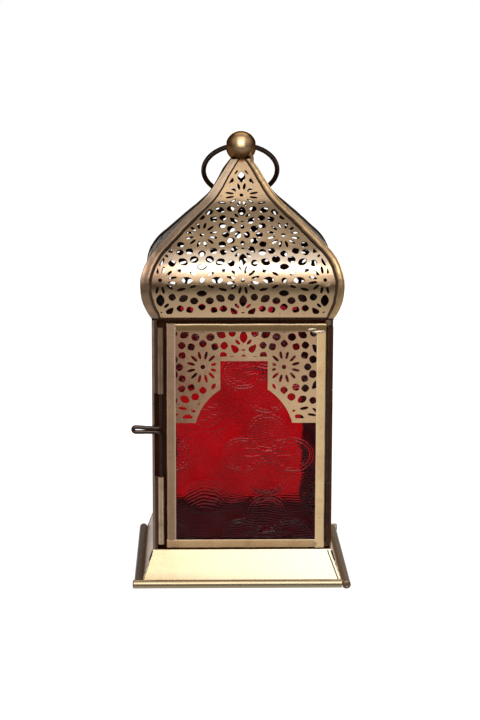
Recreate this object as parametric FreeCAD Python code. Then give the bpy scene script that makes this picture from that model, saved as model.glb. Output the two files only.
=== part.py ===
import FreeCAD, Part
import math
import os
from FreeCAD import Vector as V

# Square sheet-brass candle lantern: flared base, four glazed sides with pierced
# frets (the front one is a hinged door), an ogee roof, a ball finial and a
# hanging ring.  Millimetres.  Origin: centre of the base on the surface it
# stands on.  +Z up, the door faces -Y, its hinge is on the +X side.

# ------------------------------------------------------------ driving sizes
BODY_H = 45.0          # half width across the corner posts
SHEET = 0.6            # brass sheet
Z_BASE = 17.85         # top of the flared base
BASE_H = 54.47         # half width over the hem
HEM_R = 2.2            # outer radius of the rolled hem
HEM_Z = 2.05           # height of the hem axis; the roll is bedded flat at z = 0
LEDGE_IN = 35.0        # inner edge of the ledge folded in at the top of the base
FLOOR_H = 38.9         # half width of the floor plate
Z_POST = 135.1         # top of the corner posts
Z_EAVE = 135.7         # foot of the roof
Z_APEX = 211.0         # top edge of the roof panels

POST_W = 5.4           # flange width of a corner post
FRAME_OUT = 44.7       # outer face of a glazed frame, from the axis
FRAME_DEPTH = 3.6      # came depth, through the pane
LIP = 0.55             # came lip thickness
SLOT_DEPTH = 2.8       # how deep the came's slot is
EDGE_R = 0.35          # rounding of the came's outer edges
FRET_T = 0.5
GLASS_T = 1.85
PANE_IN = 2.5          # how far pane and fret sit in the came

WIN_H = 39.6           # half width of a fixed glazed side
WIN_STILE = 5.0
WIN_RAIL = 5.0

DOOR_X0, DOOR_X1 = -37.9, 41.4
DOOR_Z0, DOOR_Z1 = 18.6, 133.4
DOOR_STILE = 4.7
DOOR_RAIL = 4.25

FRET_TOP = 114.4       # top of the fret's cut-out
FRET_NECK = 11.8       # half width of the cut-out's neck
FRET_SHOULDER = 100.0  # where the neck turns into the arcs
FRET_FOOT = 83.0       # lower edge of the fret's legs
FRET_FOOT_X = 24.1     # half width of the cut-out at the legs
FRET_BULGE = 1.95      # rise of the arcs over their chord

HINGE = (43.4, -43.9)  # door hinge axis
KNUCKLE_R = 1.6
KNUCKLE_BORE = 1.0
HINGE_PIN_R = 0.95
KNUCKLE_Z = (21.0, 51.9, 52.4, 99.4, 99.9, 131.5)

LATCH = (-40.7, -46.1)  # latch wire axis
LATCH_TUBE_R = 1.45
LATCH_BORE = 0.95
LATCH_R = 0.9
LATCH_Z = (21.2, 56.0, 98.4, 131.7)
LEVER_Z = 79.9
LEVER_GAP = 2.7        # between the hairpin's two legs, centre to centre
LEVER_LEN = 13.7       # tip of the hairpin, from the axis
LEVER_TILT = 4.0       # degrees the lever stands off the post at rest
LATCH_BEND = 1.8
STOP_X = -37.0         # inner edge of the stop strip on the latch side

ROOF_C1 = (19.1, 152.0, 30.6)    # lower bulge: centre from axis, height, radius
ROOF_C2 = (24.3, 152.0, 25.4)    # upper bulge
ROOF_TURN = 47.0                 # degrees where the bulge turns hollow
ROOF_R3 = 300.0                  # hollow upper slope
SEAM_T = 0.6                     # thickness of the corner seam strips
SEAM_W = 3.2                     # width of a seam strip on each face
ROOF_T = 0.5                     # roof sheet

BALL_R = 7.8
BALL_Z = 217.3
BALL_FLAT = 211.0
RING_R = 19.0          # centreline of the hanging ring
RING_WIRE = 1.27
RING_HOLE = 2.45
RING_PLAY = 0.84       # ring wire centre to swing axis, in the ball
RING_LEAN = 43.0       # degrees the ring lies back from hanging straight down

os.makedirs("parts", exist_ok=True)
Z = V(0, 0, 1)


def save(name, shape):
    shape.exportStep("parts/%s.step" % name)


def box(x0, x1, y0, y1, z0, z1):
    return Part.makeBox(x1 - x0, y1 - y0, z1 - z0, V(x0, y0, z0))


def prism(points, z0, z1):
    p = [V(x, y, z0) for x, y in points]
    return Part.Face(Part.makePolygon(p + [p[0]])).extrude(V(0, 0, z1 - z0))


def rod(r, x, y, z0, z1):
    return Part.makeCylinder(r, z1 - z0, V(x, y, z0))


def turned(shape, deg):
    s = shape.copy()
    s.rotate(V(0, 0, 0), Z, deg)
    return s


def one(shape):
    s = shape.removeSplitter()
    return s.Solids[0] if len(s.Solids) == 1 else s


# ------------------------------------------------------------ flared base
# Each panel is a slanted sheet whose foot is rolled outward into a hem and whose
# top is folded in to a flat ledge, mitred at the corners.  The hem runs past the
# corner at one end and butts on its neighbour at the other.
hem_d = BASE_H - HEM_R
dx, dz = BODY_H - hem_d, Z_BASE - HEM_Z
a = math.atan2(dz, dx) + math.acos((HEM_R - SHEET) / math.hypot(dx, dz))
u = (math.cos(a), math.sin(a))
t_out = (hem_d + (HEM_R - SHEET) * u[0], HEM_Z + (HEM_R - SHEET) * u[1])
run = (BODY_H - t_out[0], Z_BASE - t_out[1])
k = 1.3
far = (t_out[0] + k * run[0], t_out[1] + k * run[1])
quad = [t_out, far, (far[0] + SHEET * u[0], far[1] + SHEET * u[1]),
        (t_out[0] + SHEET * u[0], t_out[1] + SHEET * u[1])]
pts = [V(-60, -d, z) for d, z in quad]
slant = Part.Face(Part.makePolygon(pts + [pts[0]])).extrude(V(120, 0, 0))
slant = slant.common(prism([(0, 0), (-70, -70), (70, -70)], 0, Z_BASE))
slant = slant.cut(Part.makeCylinder(HEM_R + 0.05, 140, V(hem_d, -70, HEM_Z), V(0, 1, 0)))
hem_x0, hem_x1 = -BASE_H, hem_d - HEM_R - 0.07
hem = Part.makeCylinder(HEM_R, hem_x1 - hem_x0, V(hem_x0, -hem_d, HEM_Z), V(1, 0, 0))
bore = Part.makeCylinder(HEM_R - SHEET, hem_x1 - hem_x0, V(hem_x0, -hem_d, HEM_Z), V(1, 0, 0))
skirt = slant.fuse(hem).cut(bore).common(box(-60, 60, -60, 0, 0, Z_BASE))
le = BODY_H - 0.1
ledge = prism([(-le, -le), (le, -le), (LEDGE_IN, -LEDGE_IN), (-LEDGE_IN, -LEDGE_IN)], Z_BASE - SHEET, Z_BASE)
skirt = one(skirt.fuse(ledge))
for name, deg in (("front", 0), ("right", 90), ("back", 180), ("left", 270)):
    save("base_skirt_" + name, turned(skirt, deg))

# the floor is a plain plate dropped in between the glazed sides, onto the ledges
save("floor_plate", box(-FLOOR_H, FLOOR_H, -FLOOR_H, FLOOR_H, Z_BASE, Z_BASE + SHEET))

# ------------------------------------------------------------ corner posts
B, T = BODY_H, SHEET


def angle_post(sx, sy):
    p = box(-B, -B + POST_W, -B, -B + T, Z_BASE, Z_POST)
    p = p.fuse(box(-B, -B + T, -B, -B + POST_W, Z_BASE, Z_POST))
    m = FreeCAD.Matrix()
    m.scale(V(-sx, -sy, 1))
    return one(p.transformGeometry(m)) if (sx, sy) != (-1, -1) else one(p)


back_left = one(turned(angle_post(-1, -1), 270))
back_right = one(turned(angle_post(-1, -1), 180))
save("post_back_left", back_left)
save("post_back_right", back_right)

# front left: the edge of the front flange is rolled into two tubes for the latch wire
lx, ly = LATCH
p = box(-B, lx, -B, -B + T, Z_BASE, Z_POST)
p = p.fuse(box(-B, -B + T, -B, -B + POST_W, Z_BASE, Z_POST))
for z0, z1 in (LATCH_Z[0:2], LATCH_Z[2:4]):
    p = p.fuse(rod(LATCH_TUBE_R, lx, ly, z0, z1))
notch = box(-B + 1.1, lx + 3, -B - 3, -B + T + 0.1, LATCH_Z[1], LATCH_Z[2])
p = p.cut(notch)
p = p.cut(box(-B + POST_W - 3.0, lx + 3, -B - 3, -B + T + 0.1, Z_BASE - 1, LATCH_Z[0]))
p = p.cut(box(-B + POST_W - 3.0, lx + 3, -B - 3, -B + T + 0.1, LATCH_Z[3], Z_POST + 1))
p = p.cut(rod(LATCH_BORE, lx, ly, 0, 200))
save("post_front_left", one(p))

# front right: the front edge of the side flange is rolled into the fixed hinge knuckles
hx, hy = HINGE
p = box(B - T, B, hy, -B + POST_W, Z_BASE, Z_POST)
p = p.cut(box(B - 2, B + 1, hy - 1, hy + 3.6, KNUCKLE_Z[1], KNUCKLE_Z[4]))
p = p.cut(box(B - 2, B + 1, hy - 1, hy + 2.2, Z_BASE - 1, KNUCKLE_Z[0]))
p = p.cut(box(B - 2, B + 1, hy - 1, hy + 2.2, KNUCKLE_Z[5], Z_POST + 1))
for z0, z1 in (KNUCKLE_Z[0:2], KNUCKLE_Z[4:6]):
    p = p.fuse(rod(KNUCKLE_R, hx, hy, z0, z1))
p = p.cut(rod(KNUCKLE_BORE, hx, hy, 0, 200))
save("post_front_right", one(p))
save("hinge_pin", rod(HINGE_PIN_R, hx, hy, KNUCKLE_Z[0] - 0.4, KNUCKLE_Z[5] + 0.6))


# ------------------------------------------------------------ glazed frames
def came(x0, x1, z0, z1, opens):
    """One came strip in the front plane; its slot opens towards `opens`."""
    y0 = -FRAME_OUT
    s = box(x0, x1, y0, y0 + FRAME_DEPTH, z0, z1)
    along_z = opens in ("+x", "-x")
    edges = []
    for e in s.Edges:
        c = e.CenterOfMass
        d = e.tangentAt(e.FirstParameter)
        if abs(c.y - y0) < 1e-6 and abs(d.z if along_z else d.x) > 0.9:
            edges.append(e)
    s = s.makeFillet(EDGE_R, edges)
    g0, g1 = y0 + LIP, y0 + FRAME_DEPTH - LIP
    if opens == "+x":
        slot = box(x1 - SLOT_DEPTH, x1 + 1, g0, g1, z0 - 1, z1 + 1)
    elif opens == "-x":
        slot = box(x0 - 1, x0 + SLOT_DEPTH, g0, g1, z0 - 1, z1 + 1)
    elif opens == "+z":
        slot = box(x0 - 1, x1 + 1, g0, g1, z1 - SLOT_DEPTH, z1 + 1)
    else:
        slot = box(x0 - 1, x1 + 1, g0, g1, z0 - 1, z0 + SLOT_DEPTH)
    return one(s.cut(slot))


def fret_sheet(xa, xb, zt, xc):
    """Fret with its stepped cut-out; xc is the cut-out's centre line."""
    y = -FRAME_OUT + LIP + 0.05
    P = lambda x, z: V(x, y, z)

    def arc(sign):
        p0 = (xc + sign * FRET_NECK, FRET_SHOULDER)
        p1 = (xc + sign * FRET_FOOT_X, FRET_FOOT)
        mx, mz = (p0[0] + p1[0]) / 2, (p0[1] + p1[1]) / 2
        ex, ez = p1[0] - p0[0], p1[1] - p0[1]
        n = math.hypot(ex, ez)
        nx, nz = (-ez / n, ex / n) if sign > 0 else (ez / n, -ex / n)
        return P(*p0), P(mx + FRET_BULGE * nx, mz + FRET_BULGE * nz), P(*p1)

    l0, lm, l1 = arc(-1)
    r0, rm, r1 = arc(1)
    e = [Part.LineSegment(P(xa, FRET_FOOT), P(xa, zt)).toShape(),
         Part.LineSegment(P(xa, zt), P(xb, zt)).toShape(),
         Part.LineSegment(P(xb, zt), P(xb, FRET_FOOT)).toShape(),
         Part.LineSegment(P(xb, FRET_FOOT), r1).toShape(),
         Part.Arc(r1, rm, r0).toShape(),
         Part.LineSegment(r0, P(xc + FRET_NECK, FRET_TOP)).toShape(),
         Part.LineSegment(P(xc + FRET_NECK, FRET_TOP), P(xc - FRET_NECK, FRET_TOP)).toShape(),
         Part.LineSegment(P(xc - FRET_NECK, FRET_TOP), l0).toShape(),
         Part.Arc(l0, lm, l1).toShape(),
         Part.LineSegment(l1, P(xa, FRET_FOOT)).toShape()]
    return Part.Face(Part.Wire(e)).extrude(V(0, FRET_T, 0))


def glazed(x0, x1, z0, z1, stile, rail, xc):
    out = {}
    # each strip butts on the next, round the frame
    out["stile_a"] = came(x0, x0 + stile, z0 + rail, z1, "+x")
    out["stile_b"] = came(x1 - stile, x1, z0, z1 - rail, "-x")
    out["top_rail"] = came(x0 + stile, x1, z1 - rail, z1, "-z")
    out["bottom_rail"] = came(x0, x1 - stile, z0, z0 + rail, "+z")
    xa, xb = x0 + stile - PANE_IN, x1 - stile + PANE_IN
    za, zb = z0 + rail - PANE_IN, z1 - rail + PANE_IN
    yg = -FRAME_OUT + LIP + 0.05 + FRET_T + 0.05
    out["glass"] = box(xa, xb, yg, yg + GLASS_T, za, zb)
    out["fret"] = fret_sheet(xa, xb, zb, xc)
    return out


win = glazed(-WIN_H, WIN_H, Z_BASE, Z_POST, WIN_STILE, WIN_RAIL, 0.0)
SIDES = {"right": (90, "front", "back"), "back": (180, "right", "left"), "left": (270, "back", "front")}
for side, (deg, end_a, end_b) in SIDES.items():
    for key, shape in win.items():
        name = {"stile_a": "stile_" + end_a, "stile_b": "stile_" + end_b}.get(key, key)
        save("%s_%s" % (side, name), turned(shape, deg))

door = glazed(DOOR_X0, DOOR_X1, DOOR_Z0, DOOR_Z1, DOOR_STILE, DOOR_RAIL, 0.75)
for key, shape in door.items():
    save("door_" + {"stile_a": "latch_stile", "stile_b": "hinge_stile"}.get(key, key), shape)

# moving knuckle with its leaf, soldered to the edge of the hinge stile
kz0, kz1 = KNUCKLE_Z[2], KNUCKLE_Z[3]
kn = rod(KNUCKLE_R, hx, hy, kz0, kz1).fuse(box(DOOR_X1, DOOR_X1 + 0.6, hy - 0.4, -FRAME_OUT + FRAME_DEPTH, kz0, kz1))
kn = kn.cut(rod(KNUCKLE_BORE, hx, hy, 0, 200))
save("door_knuckle", one(kn))

# ------------------------------------------------------------ latch wire
tl = math.radians(LEVER_TILT)
ld = V(-math.cos(tl), -math.sin(tl), 0)


def lp(r, z):
    return V(lx + ld.x * r, ly + ld.y * r, z)


h = LEVER_GAP / 2
b = LATCH_BEND
q = b * (1 - math.sqrt(0.5))
tip = LEVER_LEN - LATCH_R
zl, zu = LEVER_Z - h, LEVER_Z + h
edges = [
    Part.LineSegment(lp(0, LATCH_Z[0] + 0.8), lp(0, zl - b)).toShape(),
    Part.Arc(lp(0, zl - b), lp(q, zl - q), lp(b, zl)).toShape(),
    Part.LineSegment(lp(b, zl), lp(tip - h, zl)).toShape(),
    Part.Arc(lp(tip - h, zl), lp(tip, LEVER_Z), lp(tip - h, zu)).toShape(),
    Part.LineSegment(lp(tip - h, zu), lp(b, zu)).toShape(),
    Part.Arc(lp(b, zu), lp(q, zu + q), lp(0, zu + b)).toShape(),
    Part.LineSegment(lp(0, zu + b), lp(0, LATCH_Z[3] - 0.8)).toShape(),
]
path = Part.Wire(edges)
ring = Part.Wire(Part.makeCircle(LATCH_R, lp(0, LATCH_Z[0] + 0.8), Z))
latch = path.makePipeShell([ring], True, False)
save("latch_wire", latch.Solids[0] if latch.Solids else latch)

# ------------------------------------------------------------ eave and roof
e_in = BODY_H - 6.0
strips = [box(-B, B, -B, -e_in, Z_POST, Z_EAVE), box(-B, B, e_in, B, Z_POST, Z_EAVE),
          box(-B, -e_in, -e_in, e_in, Z_POST, Z_EAVE), box(e_in, B, -e_in, e_in, Z_POST, Z_EAVE)]
save("eave_frame", Part.makeCompound(strips))
# the door shuts against a stop strip beside the latch post and a header under the
# eave; a sill strip on the base's ledge lies under its bottom rail
save("latch_stop", box(-B + T, STOP_X, -B + 4.1, -B + 4.6, Z_BASE, Z_POST))
save("header_strip", box(STOP_X, e_in, -B + 4.1, -B + 4.6, Z_POST - 4.1, Z_POST))
save("sill_strip", box(-B + T + 0.1, B - T - 0.1, -B + 0.7, -B + 3.9, Z_BASE, Z_BASE + 0.5))

turn = math.radians(ROOF_TURN)
c1x, c1z, r1_ = ROOF_C1
c2x, c2z, r2_ = ROOF_C2
sx_, sz_ = c2x + r2_ * math.cos(turn), c2z + r2_ * math.sin(turn)
c3x, c3z = sx_ + ROOF_R3 * math.cos(turn), sz_ + ROOF_R3 * math.sin(turn)


def ogee(off, x):
    """The roof's section, foot to apex, moved out by off, in the plane at x."""
    P = lambda d, z: V(x, -d, z)
    ra, rb, rc = r1_ + off, r2_ + off, ROOF_R3 - off
    a0 = math.asin((Z_EAVE - c1z) / ra)
    p1 = lambda t: P(c1x + ra * math.cos(t), c1z + ra * math.sin(t))
    p2 = lambda t: P(c2x + rb * math.cos(t), c2z + rb * math.sin(t))
    p3 = lambda t: P(c3x - rc * math.cos(t), c3z - rc * math.sin(t))
    a3 = math.asin((c3z - Z_APEX) / rc)
    return ([Part.Arc(p1(a0), p1(a0 / 2), p1(0)).toShape(),
             Part.Arc(p2(0), p2(turn / 2), p2(turn)).toShape(),
             Part.Arc(p3(turn), p3((turn + a3) / 2), p3(a3)).toShape()], p1(a0), p3(a3))


def band(inner, outer, x0, x1):
    """Curved sheet between two offsets of the roof's section."""
    eo, ob, ot = ogee(outer, x0)
    ei, ib, it = ogee(inner, x0)
    loop = eo + [Part.LineSegment(ot, it).toShape()] + ei[::-1] + [Part.LineSegment(ib, ob).toShape()]
    w = Part.Wire(Part.__sortEdges__(loop))
    return Part.Face(w).extrude(V(x1 - x0, 0, 0))


skin = band(-SEAM_T - 0.02 - ROOF_T, -SEAM_T - 0.02, -60, 60)
panel = one(skin.common(prism([(0, 0), (-70, -70), (70, -70)], Z_EAVE - 1, Z_APEX + 1)))
for name, deg in (("front", 0), ("right", 90), ("back", 180), ("left", 270)):
    save("roof_panel_" + name, turned(panel, deg))

cover = band(-SEAM_T, 0.0, -60, 60)
half = cover.common(prism([(2 - SEAM_W, -2), (2, -2), (70, -70), (70 - SEAM_W, -70)], Z_EAVE - 1, Z_APEX + 1))
other = half.mirror(V(0, 0, 0), V(1, 1, 0).normalize())
seam = one(half.fuse(other))
for name, deg in (("front_right", 0), ("back_right", 90), ("back_left", 180), ("front_left", 270)):
    save("roof_seam_" + name, turned(seam, deg))

save("apex_cap", box(-4.0, 4.0, -4.0, 4.0, Z_APEX - SHEET, Z_APEX))

# ------------------------------------------------------------ finial and ring
ball = Part.makeSphere(BALL_R, V(0, 0, BALL_Z))
ball = ball.common(box(-20, 20, -20, 20, BALL_FLAT, BALL_Z + 20))
ball = ball.cut(Part.makeCylinder(RING_HOLE, 40, V(-20, 0, BALL_Z), V(1, 0, 0)))
save("finial_ball", one(ball))

lean = math.radians(RING_LEAN)
down = V(0, math.sin(lean), -math.cos(lean))
centre = V(0, 0, BALL_Z) + down * (RING_R - RING_PLAY)
save("hanging_ring", Part.makeTorus(RING_R, RING_WIRE, centre, V(0, math.cos(lean), math.sin(lean))))
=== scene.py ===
import math

import bpy
import numpy as np
from mathutils import Matrix, Vector, geometry


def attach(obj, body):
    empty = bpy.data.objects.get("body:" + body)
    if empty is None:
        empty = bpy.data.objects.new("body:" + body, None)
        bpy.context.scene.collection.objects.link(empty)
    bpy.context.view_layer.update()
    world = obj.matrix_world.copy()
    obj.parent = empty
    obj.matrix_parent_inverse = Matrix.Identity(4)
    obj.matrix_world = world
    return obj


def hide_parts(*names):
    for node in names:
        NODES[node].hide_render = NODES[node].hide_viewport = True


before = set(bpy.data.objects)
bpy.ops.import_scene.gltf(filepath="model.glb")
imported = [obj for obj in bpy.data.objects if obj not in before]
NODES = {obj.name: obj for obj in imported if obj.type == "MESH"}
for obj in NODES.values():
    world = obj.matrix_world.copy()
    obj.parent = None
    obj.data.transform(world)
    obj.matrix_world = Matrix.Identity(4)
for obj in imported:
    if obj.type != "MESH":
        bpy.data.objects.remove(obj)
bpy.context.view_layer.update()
MM = 0.001

# ------------------------------------------------------------------ helpers


def smooth_noise(x, seed, octaves=3):
    """Repeatable 1-D wobble, about -1..1; x in its own wavelengths."""
    x = np.asarray(x, float)
    r = np.random.default_rng(seed)
    out = np.zeros_like(x)
    for k in range(octaves):
        ph, fr = r.uniform(0, 6.283, 3), r.uniform(0.7, 1.4, 3) * 2 ** k
        out += sum(np.sin(6.283 * x * f + p) for f, p in zip(fr, ph)) / (3 * 1.6 ** k)
    return out / 1.5


def mesh_object(name, verts, faces, sharp=None, smooth=True):
    me = bpy.data.meshes.new(name)
    me.from_pydata([tuple(v) for v in np.asarray(verts, float) * MM], [], [tuple(int(i) for i in f) for f in faces])
    me.validate()
    me.update()
    if smooth:
        me.polygons.foreach_set("use_smooth", [True] * len(me.polygons))
        if sharp is not None:
            me.set_sharp_from_angle(angle=math.radians(sharp))
    ob = bpy.data.objects.new(name, me)
    bpy.context.scene.collection.objects.link(ob)
    return ob


def place(ob, body, mat, replaces=(), inner=None):
    """inner is a second material and the faces that take it: a first index, or a set of indices."""
    ob.data.materials.clear()
    ob.data.materials.append(mat)
    if inner:
        ob.data.materials.append(inner[0])
        which = inner[1]
        ob.data.polygons.foreach_set("material_index", [
            int(i in which if isinstance(which, set) else i >= which) for i in range(len(ob.data.polygons))])
    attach(ob, body)
    if replaces:
        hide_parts(*replaces)
    return ob


def turn(p, deg):
    c, s = math.cos(math.radians(deg)), math.sin(math.radians(deg))
    p = np.asarray(p, float)
    return np.stack([p[:, 0] * c - p[:, 1] * s, p[:, 0] * s + p[:, 1] * c, p[:, 2]], 1)


def grid_faces(nu, nv, close_u=False, close_v=False, flip=False):
    f = []
    for i in range(nu if close_u else nu - 1):
        for j in range(nv if close_v else nv - 1):
            a, b = i * nv + j, ((i + 1) % nu) * nv + j
            c, d = ((i + 1) % nu) * nv + (j + 1) % nv, i * nv + (j + 1) % nv
            f.append((a, d, c, b) if flip else (a, b, c, d))
    return f


def outward(verts, faces):
    """The faces, turned over as a whole if they enclose a negative volume."""
    v = np.asarray(verts, float)
    vol = 0.0
    for f in faces:
        for i in range(1, len(f) - 1):
            vol += np.dot(v[f[0]], np.cross(v[f[i]], v[f[i + 1]]))
    return [tuple(f)[::-1] for f in faces] if vol < 0 else [tuple(f) for f in faces]


def attribute(ob, name, values):
    a = ob.data.attributes.new(name, "FLOAT", "POINT")
    a.data.foreach_set("value", np.asarray(values, np.float32))


# ------------------------------------------------------------------ materials


class Mat:
    def __init__(self, name):
        self.m = bpy.data.materials.new(name)
        self.m.use_nodes = True
        self.t = self.m.node_tree
        self.t.nodes.clear()
        out = self.t.nodes.new("ShaderNodeOutputMaterial")
        self.b = self.t.nodes.new("ShaderNodeBsdfPrincipled")
        self.t.links.new(self.b.outputs[0], out.inputs[0])
        self.co = self.t.nodes.new("ShaderNodeTexCoord").outputs["Object"]

    def put(self, sock, v):
        if isinstance(v, bpy.types.NodeSocket):
            self.t.links.new(v, sock)
        elif isinstance(v, (tuple, list)):
            sock.default_value = (*v, 1.0) if len(v) == 3 and sock.type == "RGBA" else v
        else:
            sock.default_value = v

    def set(self, **kw):
        for k, v in kw.items():
            self.put(self.b.inputs[k.replace("_", " ")], v)

    def scaled(self, vec):
        n = self.t.nodes.new("ShaderNodeMapping")
        self.put(n.inputs["Vector"], self.co)
        n.inputs["Scale"].default_value = vec
        return n.outputs[0]

    def noise(self, scale, detail=4.0, rough=0.6, co=None, distort=0.0):
        n = self.t.nodes.new("ShaderNodeTexNoise")
        self.put(n.inputs["Vector"], self.co if co is None else co)
        n.inputs["Scale"].default_value = scale
        n.inputs["Detail"].default_value = detail
        n.inputs["Roughness"].default_value = rough
        n.inputs["Distortion"].default_value = distort
        return n.outputs["Fac"]

    def bands(self, axis, period_mm, distort=1.2):
        n = self.t.nodes.new("ShaderNodeTexWave")
        n.wave_type, n.bands_direction, n.wave_profile = "BANDS", axis, "SIN"
        self.put(n.inputs["Vector"], self.co)
        n.inputs["Scale"].default_value = 2 * math.pi / (20 * period_mm * MM)
        n.inputs["Distortion"].default_value = distort
        n.inputs["Detail"].default_value = 2.0
        n.inputs["Detail Scale"].default_value = 0.6
        return n.outputs["Fac"]

    def ramp(self, v, lo, hi, a=0.0, b=1.0):
        n = self.t.nodes.new("ShaderNodeMapRange")
        self.put(n.inputs["Value"], v)
        for k, x in zip(("From Min", "From Max", "To Min", "To Max"), (lo, hi, a, b)):
            self.put(n.inputs[k], x)
        return n.outputs[0]

    def math(self, op, a, b=0.0, clamp=False):
        n = self.t.nodes.new("ShaderNodeMath")
        n.operation, n.use_clamp = op, clamp
        self.put(n.inputs[0], a)
        self.put(n.inputs[1], b)
        return n.outputs[0]

    def mix(self, fac, a, b):
        n = self.t.nodes.new("ShaderNodeMix")
        n.data_type = "RGBA"
        self.put(n.inputs[0], fac)
        self.put(n.inputs[6], a)
        self.put(n.inputs[7], b)
        return n.outputs[2]

    def attr(self, name):
        n = self.t.nodes.new("ShaderNodeAttribute")
        n.attribute_name = name
        return n.outputs["Fac"]

    def axis(self, k):
        n = self.t.nodes.new("ShaderNodeSeparateXYZ")
        self.put(n.inputs[0], self.co)
        return n.outputs[k]

    def bump(self, height, strength, dist_mm):
        n = self.t.nodes.new("ShaderNodeBump")
        n.inputs["Strength"].default_value = strength
        n.inputs["Distance"].default_value = dist_mm * MM
        self.put(n.inputs["Height"], height)
        self.put(self.b.inputs["Normal"], n.outputs[0])


def brass(name, tone, dark, rough=(0.26, 0.4), blotch=75.0, blotch_amt=0.55, speck=850.0, speck_amt=0.3,
          bump=0.12, bump_mm=0.08, bands=None, bands_amt=0.0, streak=None, streak_amt=0.0, shade=None, lite=None, foot=None, edge_wear_and_sheen=None, coat=None, tint=None):
    """Aged brass: cloudy patina, dark specks, uneven gloss; bands are fine cross marks, streak a brushed grain,
    shade is painted shade by place, lite and foot are further tones by place, and the edge term rubs the edges bright:
    edge wear with a painted edge highlight."""
    m = Mat(name)
    cloud = m.ramp(m.noise(blotch, 6.0, 0.62, distort=0.4), 0.38, 0.68)
    fleck = m.ramp(m.noise(speck, 3.0, 0.6), 0.46, 0.74)
    amount = m.math("MULTIPLY", cloud, blotch_amt)
    amount = m.math("ADD", amount, m.math("MULTIPLY", fleck, speck_amt), clamp=True)
    height = m.noise(speck * 1.6, 4.0, 0.65)
    if bands:
        lines = m.bands(*bands)
        amount = m.math("ADD", amount, m.math("MULTIPLY", lines, bands_amt), clamp=True)
        height = m.math("ADD", m.math("MULTIPLY", height, 0.5), lines)
    if streak:
        grain = m.noise(1.0, 5.0, 0.7, co=m.scaled(streak))
        amount = m.math("ADD", amount, m.math("MULTIPLY", m.ramp(grain, 0.42, 0.72), streak_amt), clamp=True)
        height = m.math("ADD", m.math("MULTIPLY", height, 0.6), grain)
    if shade is not None:
        amount = m.math("ADD", amount, shade(m), clamp=True)
    colour = m.mix(amount, tone, dark)
    if lite is not None:
        colour = m.mix(lite[1](m), colour, lite[0])
    if foot is not None:
        colour = m.mix(foot[1](m), colour, foot[0])
    if edge_wear_and_sheen is not None:
        bev = m.t.nodes.new("ShaderNodeBevel")
        bev.samples = 4
        bev.inputs["Radius"].default_value = edge_wear_and_sheen[1] * MM
        dot = m.t.nodes.new("ShaderNodeVectorMath")
        dot.operation = "DOT_PRODUCT"
        m.put(dot.inputs[0], bev.outputs[0])
        m.put(dot.inputs[1], m.t.nodes.new("ShaderNodeNewGeometry").outputs["Normal"])
        # rubbed edges: edge wear, and a painted highlight along the edges
        rubbed_and_lit = m.math("MULTIPLY", m.ramp(dot.outputs["Value"], 0.99, 0.86), m.ramp(m.noise(170, 3.0), 0.3, 0.6, 0.25, 1.0), clamp=True)
        colour = m.mix(rubbed_and_lit, colour, edge_wear_and_sheen[0])
    m.set(Metallic=1.0, Base_Color=colour)
    if coat is not None:
        m.set(Coat_Weight=0.6, Coat_IOR=1.7, Coat_Roughness=coat)
    if tint is not None:
        m.set(Specular_Tint=tint)
    m.put(m.b.inputs["Roughness"], m.ramp(m.math("ADD", cloud, fleck), 0.0, 1.6, *rough))
    m.bump(height, bump, bump_mm)
    return m.m


def along(axis, lo, hi, a=0.0, b=1.0):
    """A ramp along an object axis, its ends in mm."""
    return lambda m: m.ramp(m.axis(axis), lo * MM, hi * MM, a, b)


# came brass: the strip's edges take a paler tone through the edge attribute, a painted highlight
def came(name, tone, dark, axis, edge=(0.80, 0.66, 0.44), painted_edge_highlight_amt=0.5, blotch=70, rough=(0.34, 0.46), **kw):
    return brass(name, tone, dark, rough, blotch, 0.5, 900, 0.22, bands=(axis, 0.72), bands_amt=0.28, bump=0.25, bump_mm=0.05,
                 lite=(edge, lambda m: m.math("MULTIPLY", m.attr("edge"), painted_edge_highlight_amt)), **kw)




def painted_highlight_band(m):
    """Painted highlight across the widest part of the roof, where the sheet is made paler."""
    return m.math("MULTIPLY", along(2, 156.5, 161.5, 0.0, 0.75)(m), along(2, 166, 171.5, 1.0, 0.0)(m))


# the same painted highlight on the front panel, fading out towards its side edges
def front_painted_highlight_band(m):
    return m.math("MULTIPLY", painted_highlight_band(m), m.math("MULTIPLY", along(0, -41, -25)(m), along(0, 46, 35)(m)))


# roof brass: lite is the painted highlight band, and foot paints the lower part of the roof paler, painted light
M_ROOF = brass("roof_antique_brass", (0.545, 0.355, 0.185), (0.27, 0.15, 0.078), (0.21, 0.31), 60, 0.5, 700, 0.25, coat=0.22,
               lite=((0.53, 0.44, 0.345), painted_highlight_band), foot=((0.68, 0.45, 0.24), along(2, 153.5, 149.5, 0.0, 0.8)))
# the front panel: shade paints shade towards its left edge and a little towards its right, where the highlight band
# fades
M_ROOF_F = brass("roof_antique_brass_front", (0.545, 0.355, 0.185), (0.21, 0.115, 0.058), (0.21, 0.31), 60, 0.45, 700, 0.25, coat=0.22,
                 shade=lambda m: m.math("ADD", along(0, -47, -28, 1.0, 0.0)(m), along(0, 36, 47, 0.0, 0.6)(m)),
                 lite=((0.53, 0.44, 0.345), front_painted_highlight_band), foot=((0.68, 0.45, 0.24), along(2, 153.5, 149.5, 0.0, 0.8)))
# fret brass, with painted shade: darker towards the left side and over the upper right
M_FRET = brass("fret_satin_brass", (0.97, 0.68, 0.39), (0.34, 0.18, 0.115), (0.48, 0.57), 50, 0.22, 900, 0.2,
               shade=lambda m: m.math("ADD", along(0, -38, 28, 0.9, 0.0)(m), m.math("MULTIPLY", along(0, 4, 18, 0.0, 1.0)(m), along(2, 92, 112, 0.0, 0.36)(m))))
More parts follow.
